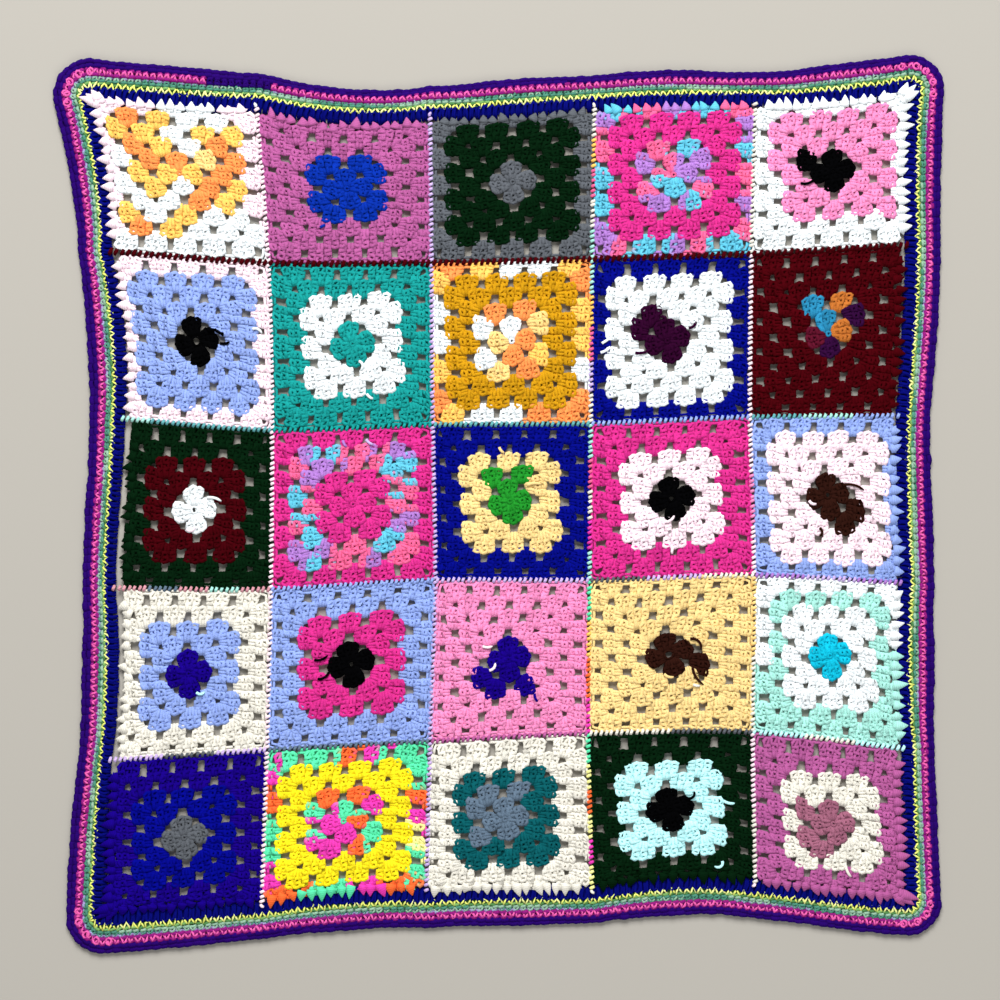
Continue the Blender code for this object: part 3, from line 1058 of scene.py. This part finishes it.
# the rounds lie a little further in or out on each side: top, right, bottom, left
PULL = np.repeat((0.030, -0.010, 0.030, -0.075), SIDE_STATIONS + FAN_STATIONS)
PULL = np.append(PULL, PULL[0])
PULL = sum(np.roll(PULL, step) for step in range(-12, 13)) / 25


def round_length(share):
    """Distance along the border (mm) at each station, on the line at this share of its width."""
    line = FEET + WAYS * (share * WIDTHS)[:, None]
    steps = np.linalg.norm(np.diff(line, axis=0), axis=1)
    return np.concatenate(((0.0,), np.cumsum(steps)))


def on_border(track, distance, share):
    """Points (mm) at a distance along a track and a share of the border's width out from the squares."""
    distance = np.mod(distance, track[-1])
    foot = np.stack([np.interp(distance, track, FEET[:, c]) for c in (0, 1)], axis=-1)
    way = unit(np.stack([np.interp(distance, track, WAYS[:, c]) for c in (0, 1)], axis=-1))
    width = np.interp(distance, track, WIDTHS)
    pull = np.interp(distance, track, PULL) * 4 * np.clip(share, 0, 1) * (1 - np.clip(share, 0, 1))
    return foot + way * ((share + pull) * width)[..., None]


def border_stitches(skein, index, pitch, path, radii, dyes, ragged=0.0, patch=None):
    """Work one path all the way round, at an even pitch, with a dye for each stitch.

    index counts the rounds from the squares outwards, and ragged lets every point of the path
    wander by itself (mm). patch gives a short stretch another dye: where it starts and ends
    (mm along the round) and the dye's name.
    """
    start = sum(BORDER_SHARES[:index])
    width = BORDER_SHARES[index]
    track = round_length(start + width / 2)
    count = round(track[-1] / pitch)
    at = (np.arange(count) + 0.5) * track[-1] / count
    at = at + chance.normal(0, BORDER_WANDER, count)
    path = np.asarray(path, float)
    reach = chance.normal(1.0, 0.05, count)[:, None]
    along = at[:, None] + path[None, :, 0] + chance.normal(0, ragged + 1e-9, (count, len(path)))
    share = start + width * path[None, :, 1] * reach
    share = share + chance.normal(0, ragged + 1e-9, share.shape) / WIDTHS.mean()
    place = on_border(track, along, share)
    lift = np.broadcast_to(path[None, :, 2], along.shape)
    paths = np.concatenate((place, lift[..., None]), axis=-1)
    thick = np.asarray(radii)[None] * chance.normal(1.0, 0.05, count)[:, None]
    colours = np.array([DYE[name] for name in dyes(count)])
    if patch:
        colours[(at > patch[0]) & (at < patch[1])] = DYE[patch[2]]
    colours = np.clip(colours * chance.normal(1.0, SHADE_WANDER, (count, 1)), 0, 1)
    wind(skein, paths, thick, colours)
    return count


def plain(name):
    """A dye list that is one dye all the way round."""
    return lambda count: [name] * count


def in_runs(names, shortest, longest):
    """A ball dyed in runs: each colour lasts a few stitches."""
    def dyes(count):
        out = []
        while len(out) < count:
            name = names[int(chance.integers(len(names)))]
            out += [name] * int(chance.integers(shortest, longest + 1))
        return out[:count]
    return dyes


# %% Navy round
NAVY_PATH = ((-1.2, -0.55, 1.7), (-2.1, 0.30, 2.7), (-1.3, 0.88, 3.0), (0.5, 1.05, 3.1),
             (1.9, 0.86, 2.9), (1.5, 0.30, 2.7), (0.9, -0.50, 1.7))
border_counts = {}
skein = []
border_counts["navy"] = border_stitches(
    skein, NAVY_ROUND, 4.6, NAVY_PATH, (1.4, 1.5, 1.5, 1.5, 1.5, 1.5, 1.4),
    plain("border_navy"), ragged=0.3)
NAVY = note(joined("border_round_1_navy_stitches", skein, WORSTED))

# %% Lime round
LIME_V = ((-2.7, 0.70, 2.9), (-1.6, 0.36, 3.5), (0.1, -0.18, 3.4), (1.1, 0.25, 3.7), (2.4, 0.78, 3.1))
LIME_BODY = ((-2.6, 0.62, 2.0), (-1.0, 0.66, 2.8), (0.8, 0.78, 2.9), (2.5, 0.66, 2.2))
skein = []
border_counts["lime"] = border_stitches(
    skein, LIME_ROUND, STITCH_PITCH, LIME_V, (0.65, 0.95, 0.8, 0.95, 0.65),
    in_runs(("lime", "lime", "lime_pale"), 1, 4), ragged=0.35)
# painted shade: the body under the V's is the lime yarn in shade, drawn in two darker copies of its dye
border_stitches(
    skein, LIME_ROUND, STITCH_PITCH, LIME_BODY, (1.1, 1.4, 1.4, 1.1),
    in_runs(("lime_painted_shade", "lime_deep_painted_shade"), 1, 3), ragged=0.3)
LIME = note(joined("border_round_2_lime_stitches", skein, WORSTED))

# %% Green round
GREEN_BODY = ((-2.4, 0.00, 2.0), (-0.8, 0.12, 2.9), (1.0, 0.20, 3.0), (2.6, 0.05, 2.1))
GREEN_V = ((-2.2, 0.20, 2.6), (-1.2, 0.55, 3.2), (0.2, 1.00, 3.1), (1.2, 0.60, 3.2), (2.2, 0.15, 2.6))
GREEN_HEAD = ((-2.5, 0.72, 2.1), (-0.8, 0.88, 2.8), (1.1, 0.86, 2.8), (2.5, 0.70, 2.2))
skein = []
border_counts["green"] = border_stitches(
    skein, GREEN_ROUND, STITCH_PITCH, GREEN_BODY, (1.2, 1.45, 1.45, 1.2),
    in_runs(("border_green", "border_mint"), 3, 8))
border_stitches(
    skein, GREEN_ROUND, STITCH_PITCH, GREEN_V, (0.8, 1.0, 0.9, 1.0, 0.8),
    in_runs(("border_green", "border_mint"), 2, 6), ragged=0.25)
border_stitches(
    skein, GREEN_ROUND, STITCH_PITCH, GREEN_HEAD, (1.1, 1.35, 1.35, 1.1),
    in_runs(("border_slate", "border_slate", "border_green"), 4, 12))
GREEN = note(joined("border_round_3_green_stitches", skein, WORSTED))

# %% Pink round
PINK_BODY = ((-2.8, 0.10, 2.1), (-0.8, 0.22, 2.9), (1.0, 0.26, 2.9), (2.9, 0.12, 2.1))
PINK_HEAD = ((-2.8, 0.88, 2.4), (-0.8, 0.98, 3.1), (1.0, 1.02, 3.1), (2.9, 0.90, 2.4))
PINK_TOOTH = ((-2.0, 0.20, 3.0), (-1.2, 0.75, 3.6), (0.4, 1.00, 3.5), (1.1, 0.55, 3.6), (2.3, 0.20, 3.0))
PINK_GAP = (90.0, 141.0, "violet")   # here the last round is worked over the pink one
RING_ANGLES = np.linspace(0, 2 * math.pi, 9)
RING_STEPS = (-18.0, -9.0, 0.0, 9.0, 18.0)   # mm along the round from the middle of a corner


def corner_rings(skein):
    """Add the open loops that show where the pink round turns each corner."""
    start = sum(BORDER_SHARES[:PINK_ROUND])
    width = BORDER_SHARES[PINK_ROUND]
    track = round_length(start + width / 2)
    rings = []
    for corner in range(4):
        # halfway through the stations that fan out round this corner
        station = (corner + 1) * SIDE_STATIONS + corner * FAN_STATIONS - 1 + FAN_STATIONS // 2
        for step in RING_STEPS:
            centre = track[station] + step + chance.normal(0, 0.8)
            along = centre + 2.2 * np.cos(RING_ANGLES)
            share = start + width * 0.6 + 2.4 * np.sin(RING_ANGLES) / WIDTHS.mean()
            place = on_border(track, along, share)
            rings.append(np.column_stack((place, 3.6 + 0.3 * np.sin(RING_ANGLES * 2))))
    wind(skein, np.array(rings), 1.1, np.tile(DYE["border_pink"], (len(rings), 1)))


skein = []
border_counts["pink"] = border_stitches(
    skein, PINK_ROUND, STITCH_PITCH, PINK_BODY, (1.6, 1.9, 1.9, 1.6), plain("magenta"), patch=PINK_GAP)
border_stitches(
    skein, PINK_ROUND, STITCH_PITCH, PINK_HEAD, (1.3, 1.6, 1.6, 1.3), plain("magenta"), patch=PINK_GAP)
border_stitches(
    skein, PINK_ROUND, STITCH_PITCH, PINK_TOOTH, (0.9, 1.2, 1.0, 1.2, 0.9),
    plain("border_pink"), ragged=0.25, patch=PINK_GAP)
corner_rings(skein)
PINK = note(joined("border_round_4_pink_stitches", skein, WORSTED))

# %% Violet round
VIOLET_BODY = ((-4.4, 0.20, 2.1), (-1.2, 0.30, 2.3), (1.4, 0.34, 2.3), (4.5, 0.24, 2.1))
VIOLET_HEAD = ((-4.6, 0.66, 2.0), (-1.6, 0.73, 2.2), (0.8, 0.77, 2.2), (4.4, 0.68, 2.0))
skein = []
border_counts["violet"] = border_stitches(
    skein, VIOLET_ROUND, 6.2, VIOLET_BODY, (2.1, 2.5, 2.5, 2.1), plain("violet"))
border_stitches(skein, VIOLET_ROUND, 6.2, VIOLET_HEAD, (2.1, 2.5, 2.5, 2.1), plain("violet"))
VIOLET = note(joined("border_round_5_violet_stitches", skein, WORSTED))
print("border stitches:", border_counts)

# %% The border's ground
# where its five colours begin and end, in shares of the border's width
GROUND_SHARES = (0.02, 0.285, 0.47, 0.62, 0.765, 0.95)
# the lime band's ground is the lime yarn's darkest painted shade
GROUND_DYES = ("border_navy", "lime_deep_painted_shade", "border_green", "magenta", "violet")
GROUND_EVERY = 4          # it has a line of points at every fourth station
BORDER_GROUND_HEIGHT = 1.9      # mm, its upper side


def border_ground():
    """Make the border's ground; returns it and the flat area of its upper side."""
    bm = bmesh.new()
    layer = bm.verts.layers.float_color.new("dye")
    stations = range(0, len(FEET) - 1, GROUND_EVERY)
    for inner, outer, dye in zip(GROUND_SHARES, GROUND_SHARES[1:], GROUND_DYES):
        lines = []
        for s in stations:
            line = []
            for share in (inner, outer):
                x, y = (FEET[s] + WAYS[s] * WIDTHS[s] * share) * MM
                spot = bm.verts.new((x, y, BORDER_GROUND_HEIGHT * MM))
                # painted shade: each band of the border's ground takes its dye darkened by DEEP
                spot[layer] = (*(DYE[dye] * DEEP), 1.0)
                line.append(spot)
            lines.append(line)
        for here, there in zip(lines, lines[1:] + lines[:1]):
            bm.faces.new((here[0], here[1], there[1], there[0]))
    area = sum(face.calc_area() for face in bm.faces)
    give_underside(bm, UNDERSIDE)
    mesh = bpy.data.meshes.new("border_ground")
    bm.to_mesh(mesh)
    bm.free()
    mesh.materials.append(FELT)
    thing = bpy.data.objects.new("border_ground", mesh)
    bpy.context.collection.objects.link(thing)
    return thing, area


ground, area = border_ground()
note(ground)
rounds = ((NAVY, "border_round_1_navy"), (LIME, "border_round_2_lime"), (GREEN, "border_round_3_green"),
          (PINK, "border_round_4_pink"), (VIOLET, "border_round_5_violet"))
for piece, node in rounds:
    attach(piece, "root")
    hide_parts(node)
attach(ground, "root")
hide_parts(*[node for _, node in rounds])

# %% [markdown]
# ## The seams
# Squares are sewn together from the right side with slanting overhand stitches. The upright
# seams are sewn first, and then each long seam across in one go, over their ends.

# %% Sew the seams
BOLD_PITCH = 4.7          # mm, of the dark first seam across
FINE_PITCH = 4.0          # all the others are sewn finer
FINE = 0.8                # and with a thinner yarn
# a stitch: along the seam, out to the left of the way it runs, and height (mm)
UPRIGHT_STITCH = (
    (0.9, -1.9, 2.8), (0.6, -1.3, 4.6), (0.0, 0.0, 5.0), (-0.6, 1.3, 4.6), (-0.9, 1.9, 2.8),
)
ACROSS_STITCH = (
    (-0.9, -2.3, 2.8), (-0.6, -1.5, 4.8), (0.0, 0.0, 5.3), (0.6, 1.5, 4.8), (0.9, 2.3, 2.8),
)
SEAM_RADII = np.array((1.2, 1.8, 2.0, 1.8, 1.2))
# the colours of each seam's yarn, a line of words for each square that it passes
UPRIGHT_SEAMS = {
    1: ("blush",) * 5,
    2: ("pale_lilac",) * 5,
    3: ("cream amber coral cream mint", "mint amber coral pale_lilac cream",
        "mint coral cream neon_magenta mint", "neon_mint amber neon_orange neon_magenta",
        "neon_mint neon_lemon neon_orange neon_lemon neon_magenta neon_lemon"),
    4: ("cream", "blush", "blush pink blush", "lemon cream", "blush cream"),
}
ACROSS_SEAMS = {
    1: ("maroon",) * 5,
    2: ("mint sea sea sea sea", "teal", "sea", "periwinkle", "sea mint periwinkle"),
    3: ("dusty slate dusty mint dusty", "periwinkle", "pale_lilac", "grey pale_lilac cream",
        "lilac pale_lilac lilac"),
    4: ("pale_lilac grey pale_lilac", "slate", "mauve", "cream grey", "ice cream ice"),
}


def sew(skein, line_at, path, words, pitch=FINE_PITCH, thick=FINE):
    """Sew one square's length of a seam along line_at(t), t from 0 to 1."""
    t = np.linspace(0, 1, 200)
    run = line_at(t)
    steps = np.linalg.norm(np.diff(run, axis=0), axis=1)
    track = np.concatenate(((0.0,), np.cumsum(steps)))
    count = round(track[-1] / pitch)
    at = (np.arange(count) + 0.5) * track[-1] / count + chance.normal(0, 0.25, count)
    t_at = np.interp(at, track, t)
    here = line_at(t_at)
    along = unit(line_at(t_at + 0.01) - line_at(t_at - 0.01))
    out = np.stack((-along[:, 1], along[:, 0]), axis=-1)
    path = np.asarray(path, float)
    size = thick * chance.normal(1.0, 0.08, count)[:, None, None]
    forward = along[:, None] * path[None, :, :1] * size
    sideways = out[:, None] * path[None, :, 1:2] * size
    place = here[:, None] + forward + sideways
    lift = np.broadcast_to(path[None, :, 2:], place.shape[:2] + (1,))
    names = words.split()
    dyes = np.array([DYE[names[int(share * len(names))]] for share in np.arange(count) / count])
    dyes = np.clip(dyes * chance.normal(1.0, SHADE_WANDER, (count, 1)), 0, 1)
    wind(skein, np.concatenate((place, lift), axis=-1), SEAM_RADII * thick, dyes)


skein = []
for column, runs in UPRIGHT_SEAMS.items():
    for row, words in enumerate(runs):
        sew(skein, lambda t: plan(column + 0 * t, row + t), UPRIGHT_STITCH, words)
upright = note(joined("seams_upright", skein, SEWING))
skein = []
for row, runs in ACROSS_SEAMS.items():
    for column, words in enumerate(runs):
        bold = (BOLD_PITCH, 1.0) if row == 1 else ()
        sew(skein, lambda t: plan(column + t, row + 0 * t), ACROSS_STITCH, words, *bold)
across = note(joined("seams_across", skein, SEWING))
for piece in (upright, across):
    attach(piece, "root")
print("seams:", TRIANGLES["seams_upright"] + TRIANGLES["seams_across"], "triangles")

# %% [markdown]
# ## Tails
# Each ball's end is woven in with a hook. Round the middles of many squares such a tail has
# worked loose and lies on top as a short curl, and the seams end in small tufts.

# %% Lay the tails
TAIL_POINTS = 9
SPRING = 2.4              # a loose tail turns through this many times the bend given for it
TAIL_HEIGHT = 4.6         # mm over the floor at its start
TAIL_ARCH = 1.2           # mm that it rises on its way
TAILS = (  # dye, square, start from its middle (mm), heading and bend (degrees), length (mm)
    ("black", (1, 5), (-24, -6), -20, 40, 14), ("royal", (1, 2), (-21, -32), 30, 0, 4),
    ("black", (2, 1), (11, 9), 15, -30, 14), ("black", (2, 1), (17, 10), -50, 30, 8),
    ("black", (2, 1), (21, 0), -10, 20, 8), ("black", (2, 1), (-2, -15), -20, 30, 7),
    ("white", (2, 1), (48, 12), 20, -40, 9),
    ("white", (2, 2), (6, -12), -20, -60, 9), ("white", (2, 2), (12, -37), -60, 20, 6),
    ("plum", (2, 4), (-8, 16), 30, -90, 8), ("plum", (2, 4), (14, 7), 10, 30, 8),
    ("plum", (2, 4), (-28, -10), -10, 20, 13), ("white", (2, 4), (-55, -9), 15, 10, 8),
    ("white", (2, 4), (-54, -2), 30, 0, 6), ("white", (2, 4), (-51, -37), 50, 0, 6),
    ("white", (3, 1), (11, 8), 10, -20, 12), ("white", (3, 1), (12, 3), 15, -60, 10),
    ("blush", (3, 1), (-4, -17), -40, 60, 8),
    ("lilac", (3, 2), (-7, 53), -80, 20, 6), ("pale_lilac", (3, 2), (11, 53), -60, 20, 7),
    ("butter", (3, 3), (-10, 44), -70, 20, 6), ("butter", (3, 3), (12, 14), 25, -20, 12),
    ("blush", (3, 4), (-5, -18), 5, 30, 9), ("blush", (3, 4), (1, -38), -120, 20, 6),
    ("brown", (3, 5), (14, 10), 10, -20, 19), ("brown", (3, 5), (-7, -24), -30, -60, 8),
    ("blush", (3, 5), (-15, -3), -60, 40, 7),
    ("periwinkle", (4, 1), (-22, 9), -10, 20, 8), ("ice", (4, 1), (5, -15), -40, 40, 7),
    ("black", (4, 2), (-28, 6), -15, 30, 11), ("black", (4, 2), (-25, -9), -5, 40, 12),
    ("blush", (4, 3), (-23, 10), -20, 20, 8), ("blush", (4, 3), (-17, -9), 10, 40, 8),
    ("indigo", (4, 3), (20, -29), -90, 20, 7),
    ("brown", (4, 4), (14, 12), 5, -50, 14), ("brown", (4, 4), (16, -11), -80, 20, 17),
    ("butter", (4, 4), (-5, -16), -50, 30, 8), ("cream", (4, 4), (17, -25), -30, 20, 5),
    ("black", (5, 4), (12, 5), 10, 40, 9), ("ice", (5, 4), (39, 4), -30, 20, 9),
    ("ice", (5, 4), (37, -47), -80, -60, 10), ("cream", (5, 5), (11, -39), -85, 20, 10),
    # the ends of the upright seams, at the blanket's edge
    ("white", (1, 1), (62, 63), 75, 40, 3), ("pale_lilac", (1, 2), (62, 63), 100, -40, 3),
    ("cream", (1, 3), (62, 63), 70, 40, 3), ("blush", (5, 1), (62, -63), -75, 40, 3),
    ("cream", (5, 3), (62, -63), -80, 40, 3), ("blush", (5, 4), (62, -63), -100, -40, 3),
)


def curl(square, start, heading, bend, length):
    """A bowed path from a start, in the blanket's plan."""
    along = np.linspace(0, 1, TAIL_POINTS)
    course = np.radians(heading + SPRING * bend * along)
    step = length / (TAIL_POINTS - 1)
    x = start[0] + step * np.concatenate(((0,), np.cumsum(np.cos(course[:-1]))))
    y = start[1] + step * np.concatenate(((0,), np.cumsum(np.sin(course[:-1]))))
    return into_blanket(square[0] - 1, square[1] - 1, x, y)


arch = np.sin(np.linspace(0.15, 1, TAIL_POINTS) * math.pi * 0.85)
paths = [np.column_stack((curl(*tail[1:]), TAIL_HEIGHT + TAIL_ARCH * arch)) for tail in TAILS]
skein = []
tail_radii = np.concatenate((np.linspace(1.5, 1.35, TAIL_POINTS - 2), (1.1, 0.6)))
wind(skein, np.array(paths), tail_radii, np.array([DYE[tail[0]] for tail in TAILS]))
tails = note(joined("woven_in_tails", skein, WORSTED))
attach(tails, "root")
print(len(TAILS), "tails")

# %% [markdown]
# ## The room
# The blanket lies on a plain pale floor under large soft lamps, and the camera looks
# straight down on it.

# %% Floor, light and camera
floor_mesh = bpy.data.meshes.new("floor")
bm = bmesh.new()
bmesh.ops.create_grid(bm, x_segments=1, y_segments=1, size=4.0)
bm.to_mesh(floor_mesh)
bm.free()
floor = bpy.data.objects.new("floor", floor_mesh)
bpy.context.collection.objects.link(floor)
floor_material = bpy.data.materials.new("pale_matt_floor")
floor_material.use_nodes = True
floor_surface = floor_material.node_tree.nodes["Principled BSDF"]
floor_surface.inputs["Base Color"].default_value = (*linear("a09c94"), 1.0)
floor_surface.inputs["Roughness"].default_value = 0.9
floor_mesh.materials.append(floor_material)


def lamp(name, place, size, power):
    """A square soft lamp that faces the middle of the blanket."""
    light = bpy.data.lights.new(name, "AREA")
    light.shape = "SQUARE"
    light.size = size
    light.energy = power
    thing = bpy.data.objects.new(name, light)
    thing.location = place
    x, y, z = place
    thing.rotation_euler = (math.atan2(math.hypot(x, y), z), 0.0, math.atan2(x, -y))
    bpy.context.collection.objects.link(thing)


lamp("main_lamp", (-0.2, 2.5, 2.6), 2.0, 212.0)
lamp("fill_lamp", (0.8, -2.4, 2.2), 2.0, 36.0)
world = bpy.data.worlds.new("soft_room")
world.use_nodes = True
world.node_tree.nodes["Background"].inputs["Color"].default_value = (1.0, 1.0, 1.0, 1.0)
world.node_tree.nodes["Background"].inputs["Strength"].default_value = 0.36
scene = bpy.context.scene
scene.world = world
scene.view_settings.view_transform = "Standard"

VIEW_WIDTH = 0.780        # m of floor across the picture
CAMERA_HEIGHT = 1.9
VIEW_MIDDLE = (0.0016, 0.0035)   # m, the point of the floor in the middle of the picture
eye = bpy.data.cameras.new("eye")
eye.sensor_width = 36.0
eye.lens = 36.0 * CAMERA_HEIGHT / VIEW_WIDTH
camera = bpy.data.objects.new("eye", eye)
camera.location = (*VIEW_MIDDLE, CAMERA_HEIGHT)
bpy.context.collection.objects.link(camera)
scene.camera = camera
print("triangles in all:", sum(TRIANGLES.values()), "largest:", max(TRIANGLES.values()))
